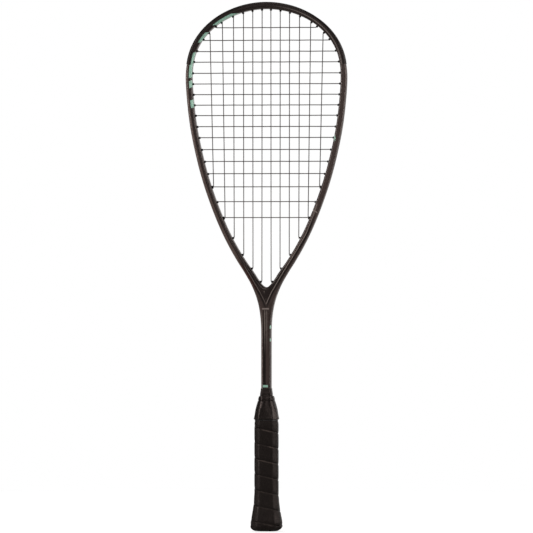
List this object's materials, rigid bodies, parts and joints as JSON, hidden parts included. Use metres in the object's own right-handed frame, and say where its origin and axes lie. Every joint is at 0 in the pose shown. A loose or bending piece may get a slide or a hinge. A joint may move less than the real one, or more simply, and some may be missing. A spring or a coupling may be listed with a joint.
{
  "type": "squash racket",
  "caption": "Squash racket: teardrop strung head with a bumper guard, open throat, slim shaft and a spiral-wrapped grip with a flared butt and a sliding rubber collar.",
  "frame": {"origin": "centre of the flat end face of the butt cap, on the handle's axis", "axes": "+Z runs from the butt up the shaft to the top of the head; X runs across the strung face; Y is the depth of the beam, through the string bed, with the front face looking along -Y"},
  "size_m": [0.2096, 0.0368, 0.686],
  "materials": {
    "frame_paint": "satin dark brown-black lacquer over carbon laminate, with mint and pale pinstripe paint marks",
    "bumper": "moulded black nylon, fine matt grain, scuffed outer edge",
    "grommet": "moulded black nylon, smooth",
    "string": "black multifilament synthetic string, slight sheen",
    "foam": "moulded polyurethane foam",
    "cap": "moulded black plastic, fine texture",
    "grip": "near-black soft polyurethane grip tape, perforated, stitched-look seams",
    "tape": "thin black vinyl tape",
    "collar": "moulded black rubber, semi-matt",
    "staple_steel": "plain steel wire"
  },
  "bodies": {
    "racket": {"carbon_frame": "frame_paint", "head_bumper_guard": "bumper", "left_side_grommet_strip": "grommet", "right_side_grommet_strip": "grommet", "left_throat_grommet_strip": "grommet", "right_throat_grommet_strip": "grommet", "main_string": "string", "cross_string": "string", "handle_pallet": "foam", "shaft_end_plugs": "foam", "butt_cap": "cap", "butt_cap_staples": "staple_steel", "grip_tape": "grip", "grip_start_tack": "staple_steel", "finishing_tape": "tape"},
    "collar": {"rubber_collar": "collar"}
  },
  "joints": [
    {"name": "collar_slide", "type": "slide", "parent": "racket", "child": "collar", "axis": [0, 0, 1], "range_m": [0, 0.055]}
  ]
}
